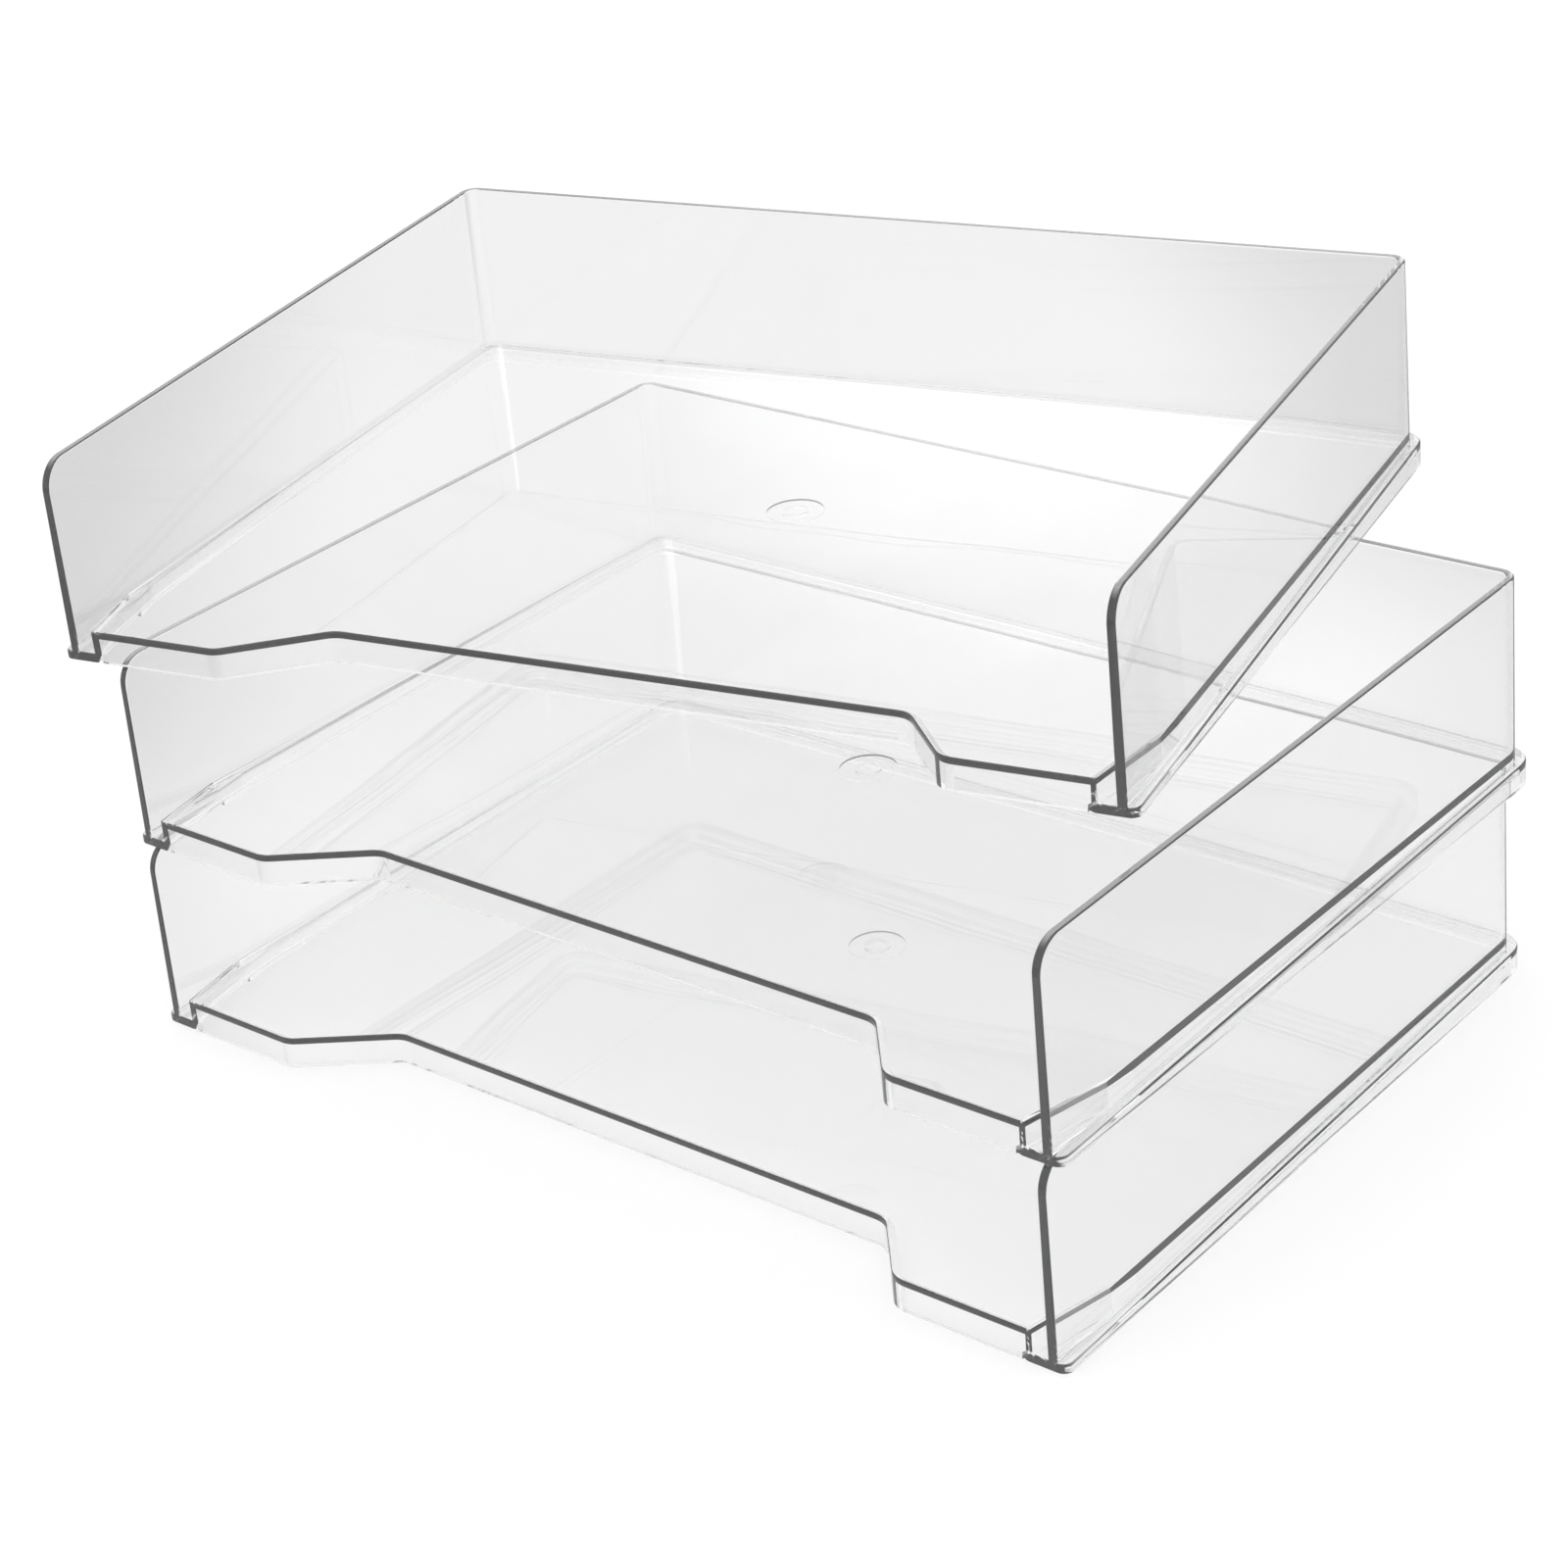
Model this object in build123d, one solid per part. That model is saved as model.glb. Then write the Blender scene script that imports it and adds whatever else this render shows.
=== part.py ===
from build123d import *
import math
import os

# A stack of three identical letter trays, each one clear moulding. Millimetres, +Z up.
# In a tray's own frame x is centred, y = 0 is the open front and z = 0 is the plane it stands on.

# Walls
base_half_width = 172.9     # outer face of a side wall, at the base plane
rim_half_width = 171.5      # the same face at the back rim
base_depth = 251.7          # open front to the outer face of the back wall, at the base plane
front_height = 64.4         # rim of a side wall at the open front
back_height = 68.4          # rim of the back wall; the side rims rise to it in a straight line
wall_base = 3.1             # wall thickness at the base plane
wall_rim = 2.4              # wall thickness at the rim
corner_radius = 7.0         # outside of a back corner, in plan
rim_front_radius = 9.5      # rounding where a side wall's rim meets its front edge

# Floor, raised off the base plane
floor_top = 10.25
plate = 2.7                 # thickness of the floor and the flange
web = 2.4                   # thickness of every upright wall below the floor

# Recess in the floor's front edge, for the fingers that take the paper out
finger_depth = 21.6
finger_mouth = 118.8        # half its width at the front
finger_left = -89.5         # its back edge runs from here
finger_right = 100.0        # to here
finger_bend = 8.0           # outside radius of its four bends

# Flange around the back and sides, with a skirt down to the base plane
overhang = 3.15             # beyond the outer face of the wall at the base plane
flange_top = 7.9            # at the back; from there it slopes down all the way to the open front
flange_front_radius = overhang  # seen from above, where the skirt comes round to the open front

# Pocket in each front corner, between the wall and the raised floor
pocket_width = 5.8          # clear width at the open front
pocket_length = 28.0        # it narrows to nothing over this length
pocket_round = 2.2          # rounding along the foot of its inner wall

# Mark left by the moulding gate, under the floor
gate_place = (6.0, 141.5)
gate_diameter = 18.5        # of the shallow dimple
gate_depth = 0.6
gate_ring = 8.4             # outside diameter of the raised ring in the middle of the dimple
gate_ring_width = 0.7

# Rounding along the rims, the open front and the flange's outside
edge_round = 0.7
shortest_rounded = 4.0      # shorter edges only cross a plate

# The stack
seat_gap = 0.05             # air between a rim and what rests on it
middle_shift = (1.2, 0.8)   # the middle tray lies this far from the bottom one, within its play
top_turn = 12.2             # the top tray lies askew, turned about the vertical
top_tilt = 0.86             # and tilted up at the back, as the rims below it are
top_pivot = (0.0, 122.5)    # the point on its plan that it is turned about
top_shift = (-40.2, 26.9)   # how far that point lies from the middle tray's

far = 400.0                 # beyond the tray in every direction, for cutting

rest_y = pocket_length * (1 + web / pocket_width)  # behind this the feet of the walls follow the rim below
rim_slope = (back_height - front_height) / base_depth
pitch = front_height + rim_slope * (rest_y + middle_shift[1]) + seat_gap
inner_half = base_half_width - wall_base
inner_depth = base_depth - wall_base
flange_under = flange_top - plate
back_rim_y = base_depth - (base_half_width - rim_half_width)
pocket_edge = inner_half - pocket_width


def outline(half_width, depth, back_radius, front=0.0):
    """The plan of a tray from its open front to its back, with round back corners."""
    with BuildSketch() as plan:
        with Locations((0, (front + depth) / 2)):
            Rectangle(2 * half_width, depth - front)
        fillet(plan.vertices().group_by(Axis.Y)[-1], back_radius)
    return plan.sketch


def upright(plan, low, high):
    """A plan made solid between two heights."""
    return extrude(Pos(0, 0, low) * plan, high - low, dir=(0, 0, 1))


def leaning(half_width, half_width_high, depth, back_radius):
    """The same, from the base plane to the back rim, leaning in as it goes up."""
    lean = math.degrees(math.atan((half_width - half_width_high) / back_height))
    return extrude(outline(half_width, depth, back_radius, -far), back_height, taper=lean)


def across(*points):
    """A solid wider than the tray whose side view is the outline through (y, z) points."""
    return extrude(Plane.YZ * make_face(Polyline(*points, close=True)), far, both=True)


def under_slope(front, back):
    """Everything under a surface that slopes up from the open front and is level behind the back wall."""
    return across((-far, -far), (far, -far), (far, back), (base_depth, back), (0, front), (-far, front))


def walls():
    """The side and back walls, from their sloping rim down to their feet."""
    outer = leaning(base_half_width, rim_half_width, base_depth, corner_radius)
    inner = leaning(inner_half, rim_half_width - wall_rim, inner_depth, corner_radius - wall_base)
    with BuildSketch() as side:
        with BuildLine():
            far_rim = front_height + rim_slope * far
            Polyline((0, 0), (far, 0), (far, far_rim), (0, front_height), close=True)
        make_face()
        fillet(side.vertices().group_by(Axis.X)[0].sort_by(Axis.Y)[-1], rim_front_radius)
    below_rim = extrude(Plane.YZ * side.sketch, far, both=True)
    clear_below = across((rest_y, 0), (far, rim_slope * (far - rest_y)), (far, -far), (rest_y, -far))
    return (outer - inner) & below_rim - clear_below


def front_cut():
    """The plan of everything in front of the floor's front edge."""
    with BuildSketch() as plan:
        with BuildLine():
            Polyline(
                (-far, -far), (-far, 0), (-finger_mouth, 0), (finger_left, finger_depth),
                (finger_right, finger_depth), (finger_mouth, 0), (far, 0), (far, -far), close=True
            )
        make_face()
        bends = plan.vertices().filter_by(lambda v: abs(v.X) < far / 2)
        fillet(bends, finger_bend)
    return plan.sketch


def pocket_plan(side, growth=0.0):
    """The plan of the pocket beside one wall, with its slanting edge moved inwards by a growth."""
    stretch = 1 + growth / pocket_width
    tip = (side * inner_half, pocket_length * stretch)
    edge = (side * (inner_half - pocket_width * stretch), 0)
    return make_face(Polyline((side * far, 0), edge, tip, (side * far, pocket_length * stretch), close=True))


def pocket_rounding(side):
    """What is taken off the foot of a pocket's inner wall to round it, short of where it fades out."""
    reach = pocket_width + web
    foot = side * (inner_half - reach)
    run = Vector(side * reach, pocket_length * reach / pocket_width, 0)
    square = Pos(foot + side * pocket_round / 2, pocket_round / 2) * Rectangle(pocket_round, pocket_round)
    corner = square - Pos(foot + side * pocket_round, pocket_round) * Circle(pocket_round)
    return extrude(Plane.XZ * corner, run.length * (1 - pocket_round / reach), dir=run.normalized())


def gate_mark():
    """The dimple under the floor, without the ring that stands in it."""
    middle = Pos(*gate_place, floor_top - plate)
    up = (Align.CENTER, Align.CENTER, Align.MIN)
    dimple = Cylinder(gate_diameter / 2, gate_depth, align=up)
    ring = Cylinder(gate_ring / 2, gate_depth, align=up)
    ring -= Cylinder(gate_ring / 2 - gate_ring_width, gate_depth, align=up)
    return middle * (dimple - ring)


def is_rounded(edge):
    """Whether an edge is one of a rim, of the open front or of the flange's outside."""
    middle = edge @ 0.5
    from_centre = abs(middle.X)
    in_front = middle.Y < 0.01
    rim = middle.Z > front_height - rim_front_radius
    wall_front = in_front and middle.Z > floor_top + 0.01
    pocket_front = in_front and middle.Z > plate - 0.01 and from_centre > pocket_edge - 0.01
    beside_recess = middle.Y < finger_depth + 0.01 and from_centre < pocket_edge
    floor_front = beside_recess and abs(middle.Z - floor_top) < 0.01
    outside = from_centre > base_half_width or middle.Y > base_depth
    flange_edge = outside and abs(middle.Z - flange_top) < 0.01
    long_enough = edge.length > shortest_rounded
    return long_enough and (rim or wall_front or pocket_front or floor_front or flange_edge)


def tray():
    """One whole tray."""
    room = outline(inner_half, inner_depth, corner_radius - wall_base)
    pockets = pocket_plan(-1) + pocket_plan(1)
    pocket_walls = pocket_plan(-1, web) + pocket_plan(1, web)
    floor_plan = room - pockets

    flange_half = base_half_width + overhang
    flange_depth = base_depth + overhang
    flange_radius = corner_radius + overhang
    flange_plan = outline(flange_half, flange_depth, flange_radius)
    flange_plan = fillet(flange_plan.vertices().group_by(Axis.Y)[0], flange_front_radius)
    skirt_plan = outline(flange_half - web, flange_depth - web, flange_radius - web, -far)
    flange = upright(flange_plan, 0, flange_top) & under_slope(plate, flange_top)
    flange -= upright(skirt_plan - floor_plan, -1, flange_top) & under_slope(0, flange_under)

    front = front_cut()
    behind_front = offset(front, web, kind=Kind.INTERSECTION)
    body = flange + upright(floor_plan, 0, floor_top) + walls()
    body -= upright(room - pocket_walls - behind_front, -1, floor_top - plate)
    body -= upright(front, -1, far)
    body -= pocket_rounding(-1) + pocket_rounding(1)
    body = fillet(body.edges().filter_by(is_rounded), edge_round)
    return body - gate_mark()


def stack():
    """The three trays where they lie, by name."""
    one = tray()
    middle = Pos(*middle_shift, pitch)
    pivot = Pos(*top_pivot, 0)
    contact = back_rim_y - top_pivot[1] - top_shift[1]
    rise = back_height + seat_gap - contact * math.tan(math.radians(top_tilt))
    laid = Pos(*top_shift, rise) * pivot * Rot(top_tilt, 0, 0) * Rot(0, 0, top_turn) * pivot.inverse()
    return {"bottom_tray": one, "middle_tray": middle * one, "top_tray": middle * laid * one}


trays = stack()
box = Compound(list(trays.values())).bounding_box()
origin = Pos(-box.center().X, -box.center().Y, -box.min.Z)
os.makedirs("parts", exist_ok=True)
for name, solid in trays.items():
    export_step(origin * solid, f"parts/{name}.step")
print("origin moved by", origin.position, "whole size", box.size)
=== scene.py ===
import math

import bpy
from mathutils import Matrix, Vector


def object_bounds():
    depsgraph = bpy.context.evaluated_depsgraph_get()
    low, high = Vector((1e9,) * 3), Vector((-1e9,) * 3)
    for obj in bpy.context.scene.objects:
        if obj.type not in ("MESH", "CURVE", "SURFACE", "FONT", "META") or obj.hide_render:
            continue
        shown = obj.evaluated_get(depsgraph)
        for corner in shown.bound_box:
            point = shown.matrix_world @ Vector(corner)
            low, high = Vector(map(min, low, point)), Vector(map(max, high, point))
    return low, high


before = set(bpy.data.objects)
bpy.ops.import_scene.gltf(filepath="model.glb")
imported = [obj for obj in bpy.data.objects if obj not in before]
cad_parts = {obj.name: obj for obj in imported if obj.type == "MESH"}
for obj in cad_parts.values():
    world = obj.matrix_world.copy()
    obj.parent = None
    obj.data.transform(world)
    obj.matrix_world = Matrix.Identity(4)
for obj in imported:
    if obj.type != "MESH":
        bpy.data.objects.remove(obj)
cad_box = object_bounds()

# The view, measured from the middle of the object's box.
CAMERA_AZIMUTH = 40.97
CAMERA_ELEVATION = 26.87
CAMERA_ROLL = 5.05
CAMERA_DISTANCE = 1.0904
CAMERA_AIM = (0.0076, -0.0183, -0.0372)
CAMERA_LENS_MM = 79.34

# Clear polystyrene, as moulded.
PLASTIC_IOR = 1.59
PLASTIC_FACE_ON = (0.979, 0.98, 0.979)
# Painted reflection: side on, the plastic greys towards this colour by this much, standing in for a
# darker room mirrored at a slant.
PLASTIC_SIDE_ON_PAINTED_REFLECTION = (0.30, 0.31, 0.32)
PLASTIC_PAINTED_REFLECTION_STRENGTH = 0.3
PLASTIC_CLEARNESS = 0.99

# The top of the rim, a little less clear: from what share of a tray's height, and how far it faces up.
RIM_CLEARNESS = 0.72
RIM_HEIGHT = (0.80, 0.85)
RIM_FACING = (0.75, 0.95)

# The studio. A glow is a soft patch of light in the room: azimuth, elevation, radius and brightness.
ROOM_BRIGHTNESS = 1.0
GLOWS = ((36, 19, 8, 0.8),)
TOP_LIGHT = 0.6
FLOOR_COLOUR = (0.9, 0.9, 0.9, 1)
FLOOR_SIZE = 12.0

# The floor as the plastic shows it: a darker copy with painted shade, and a painted pool of light that
# fades off. A fade is a direction, where it starts and ends, and what is left.
PAINTED_FLOOR_BRIGHTNESS = 0.875
PAINTED_LIGHT_FADES = (
    ((-0.73, -0.68, 0.0), 0.15, 0.30, 0.72),
    ((0.71, 0.70, 0.0), 0.19, 0.34, 0.78),
    ((-0.75, 0.66, 0.0), 0.10, 0.26, 0.88),
)


def node(tree, kind, **values):
    """A shader node with its sockets and settings given by name."""
    made = tree.nodes.new(kind)
    for name, value in values.items():
        socket = name.replace("_", " ").title()
        if hasattr(made, name):
            setattr(made, name, value)
        elif socket in made.inputs:
            made.inputs[socket].default_value = value
        else:
            made.inputs[name].default_value = value
    return made


def camera():
    low, high = cad_box
    azimuth = math.radians(CAMERA_AZIMUTH)
    elevation = math.radians(CAMERA_ELEVATION)
    back = Vector((
        math.sin(azimuth) * math.cos(elevation),
        -math.cos(azimuth) * math.cos(elevation),
        math.sin(elevation),
    ))
    data = bpy.data.cameras.new("camera")
    data.lens = CAMERA_LENS_MM
    data.sensor_width = 36.0
    made = bpy.data.objects.new("camera", data)
    bpy.context.scene.collection.objects.link(made)
    level = back.to_track_quat("Z", "Y").to_matrix().to_4x4()
    roll = Matrix.Rotation(math.radians(-CAMERA_ROLL), 4, "Z")
    place = Matrix.Translation((low + high) / 2 + Vector(CAMERA_AIM) + back * CAMERA_DISTANCE)
    made.matrix_world = place @ level @ roll
    bpy.context.scene.camera = made


def upper_part(tree, vector, span):
    """A value that rises from 0 to 1 while a vector's Z goes through a span."""
    split = node(tree, "ShaderNodeSeparateXYZ")
    tree.links.new(vector, split.inputs[0])
    rise = node(tree, "ShaderNodeMapRange")
    rise.inputs["From Min"].default_value, rise.inputs["From Max"].default_value = span
    tree.links.new(split.outputs["Z"], rise.inputs["Value"])
    return rise.outputs[0]


def clear_plastic():
    """Clear moulded polystyrene: polished, a little wavy, and greyer where it is seen at a slant, a
    painted reflection of a darker room.
    """
    mat = bpy.data.materials.new("clear_polystyrene")
    mat.use_nodes = True
    tree = mat.node_tree
    tree.nodes.clear()
    link = tree.links.new
    out = node(tree, "ShaderNodeOutputMaterial")
    plastic = node(tree, "ShaderNodeBsdfPrincipled")
    plastic.inputs["IOR"].default_value = PLASTIC_IOR
    link(plastic.outputs[0], out.inputs["Surface"])

    # Painted reflection: the colour greys at a slant, standing in for a darker room mirrored there.
    # Face on, it keeps the plastic's own faint grey tint.
    slant = node(tree, "ShaderNodeFresnel")
    slant.inputs["IOR"].default_value = PLASTIC_IOR
    painted_reflection = node(tree, "ShaderNodeMath", operation="MULTIPLY", use_clamp=True)
    painted_reflection.inputs[1].default_value = PLASTIC_PAINTED_REFLECTION_STRENGTH
    link(slant.outputs[0], painted_reflection.inputs[0])
    tint_and_painted_reflection = node(tree, "ShaderNodeMix", data_type="RGBA")  # inputs 6 and 7 are its colours A and B
    tint_and_painted_reflection.inputs[6].default_value = (*PLASTIC_FACE_ON, 1)
    tint_and_painted_reflection.inputs[7].default_value = (*PLASTIC_SIDE_ON_PAINTED_REFLECTION, 1)
    link(painted_reflection.outputs[0], tint_and_painted_reflection.inputs["Factor"])
    link(tint_and_painted_reflection.outputs[2], plastic.inputs["Base Color"])

    # The top of the rim is a little matt.
    place = node(tree, "ShaderNodeTexCoord")
    surface = node(tree, "ShaderNodeNewGeometry")
    high = upper_part(tree, place.outputs["Generated"], RIM_HEIGHT)
    upward = upper_part(tree, surface.outputs["Normal"], RIM_FACING)
    rim = node(tree, "ShaderNodeMath", operation="MULTIPLY")
    link(high, rim.inputs[0])
    link(upward, rim.inputs[1])
    clearness = node(tree, "ShaderNodeMapRange")
    clearness.inputs["To Min"].default_value = PLASTIC_CLEARNESS
    clearness.inputs["To Max"].default_value = RIM_CLEARNESS
    link(rim.outputs[0], clearness.inputs["Value"])
    link(clearness.outputs[0], plastic.inputs["Transmission Weight"])

    # Polish that handling has dulled here and there.
    haze = node(tree, "ShaderNodeTexNoise")
    haze.inputs["Scale"].default_value = 22.0
    haze.inputs["Detail"].default_value = 6.0
    link(place.outputs["Object"], haze.inputs["Vector"])
    dull = node(tree, "ShaderNodeMapRange")
    dull.inputs["From Min"].default_value = 0.45
    dull.inputs["From Max"].default_value = 0.8
    dull.inputs["To Min"].default_value = 0.006
    dull.inputs["To Max"].default_value = 0.05
    link(haze.outputs["Fac"], dull.inputs["Value"])
    link(dull.outputs[0], plastic.inputs["Roughness"])

    # The slow waves that a cooled moulding has.
    waves = node(tree, "ShaderNodeTexNoise")
    waves.inputs["Scale"].default_value = 14.0
    waves.inputs["Detail"].default_value = 1.0
    link(place.outputs["Object"], waves.inputs["Vector"])
    bump = node(tree, "ShaderNodeBump")
    bump.inputs["Strength"].default_value = 0.25
    bump.inputs["Distance"].default_value = 0.0006
    link(waves.outputs["Fac"], bump.inputs["Height"])
    link(bump.outputs[0], plastic.inputs["Normal"])
    return mat


def floor_sheet(name, drop):
    """A wide matt sheet under the object, and its shader."""
    bpy.ops.mesh.primitive_plane_add(size=FLOOR_SIZE, location=(0, 0, -drop))
    sheet = bpy.context.object
    sheet.name = name
    mat = bpy.data.materials.new(name)
    mat.use_nodes = True
    shader = mat.node_tree.nodes["Principled BSDF"]
    shader.inputs["Base Color"].default_value = FLOOR_COLOUR
    shader.inputs["Roughness"].default_value = 0.9
    shader.inputs["Specular IOR Level"].default_value = 0.0
    sheet.data.materials.append(mat)
    sheet.visible_shadow = False
    return sheet, shader


def pale_floor():
    """White where it is seen directly, and a little less so where the plastic shows or mirrors it:
    there, a darker copy with painted shade around a painted pool of light.
    """
    bare, _ = floor_sheet("floor", 0.0005)
    bare.visible_glossy = False
    bare.visible_transmission = False
    bare.visible_diffuse = False

    through, shader = floor_sheet("floor_through_plastic", 0.0006)
    through.visible_camera = False
    tree = through.data.materials[0].node_tree
    link = tree.links.new
    place = node(tree, "ShaderNodeNewGeometry")
    brightness = node(tree, "ShaderNodeValue")
    brightness.outputs[0].default_value = PAINTED_FLOOR_BRIGHTNESS
    # Painted shade: the copy dims from this level in a painted pool of light, fading towards the front
    # left, the back right and the back left.
    total = brightness.outputs[0]
    for direction, start, end, left in PAINTED_LIGHT_FADES:
        along = node(tree, "ShaderNodeVectorMath", operation="DOT_PRODUCT")
        along.inputs[1].default_value = direction
        link(place.outputs["Position"], along.inputs[0])
        fade = node(tree, "ShaderNodeMapRange", interpolation_type="SMOOTHSTEP")
        fade.inputs["From Min"].default_value = start
        fade.inputs["From Max"].default_value = end
        fade.inputs["To Min"].default_value = 1.0
        fade.inputs["To Max"].default_value = left
        link(along.outputs["Value"], fade.inputs["Value"])
        dim = node(tree, "ShaderNodeMath", operation="MULTIPLY")
        link(total, dim.inputs[0])
        link(fade.outputs[0], dim.inputs[1])
        total = dim.outputs[0]
    link(total, shader.inputs["Base Color"])


def towards(azimuth, elevation):
    """The direction at an azimuth, measured from straight behind the object to its left."""
    turn = math.radians(azimuth)
    lift = math.radians(elevation)
    return Vector((-math.sin(turn) * math.cos(lift), math.cos(turn) * math.cos(lift), math.sin(lift)))


def studio():
    """An evenly lit room with soft glows behind the object, and a broad soft light from above."""
    world = bpy.data.worlds.new("studio")
    world.use_nodes = True
    tree = world.node_tree
    link = tree.links.new
    place = node(tree, "ShaderNodeTexCoord")
    brightness = node(tree, "ShaderNodeValue")
    brightness.outputs[0].default_value = ROOM_BRIGHTNESS
    total = brightness.outputs[0]
    for azimuth, elevation, radius, strength in GLOWS:
        facing = node(tree, "ShaderNodeVectorMath", operation="DOT_PRODUCT")
        facing.inputs[1].default_value = towards(azimuth, elevation)
        link(place.outputs["Generated"], facing.inputs[0])
        glow = node(tree, "ShaderNodeMapRange", interpolation_type="SMOOTHSTEP")
        glow.inputs["From Min"].default_value = math.cos(math.radians(radius))
        glow.inputs["From Max"].default_value = 1.0
        glow.inputs["To Max"].default_value = strength
        link(facing.outputs["Value"], glow.inputs["Value"])
        add = node(tree, "ShaderNodeMath", operation="ADD")
        link(total, add.inputs[0])
        link(glow.outputs[0], add.inputs[1])
        total = add.outputs[0]
    background = tree.nodes["Background"]
    background.inputs["Color"].default_value = (1, 1, 1, 1)
    link(total, background.inputs["Strength"])
    bpy.context.scene.world = world
    top = bpy.data.lights.new("top_light", "SUN")
    top.energy = TOP_LIGHT
    top.angle = math.radians(60)
    bpy.context.scene.collection.objects.link(bpy.data.objects.new("top_light", top))


camera()
pale_floor()
studio()
plastic = clear_plastic()
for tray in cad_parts.values():
    tray.data.materials.clear()
    tray.data.materials.append(plastic)
    tray.visible_shadow = False

bpy.context.scene.view_settings.view_transform = "Standard"
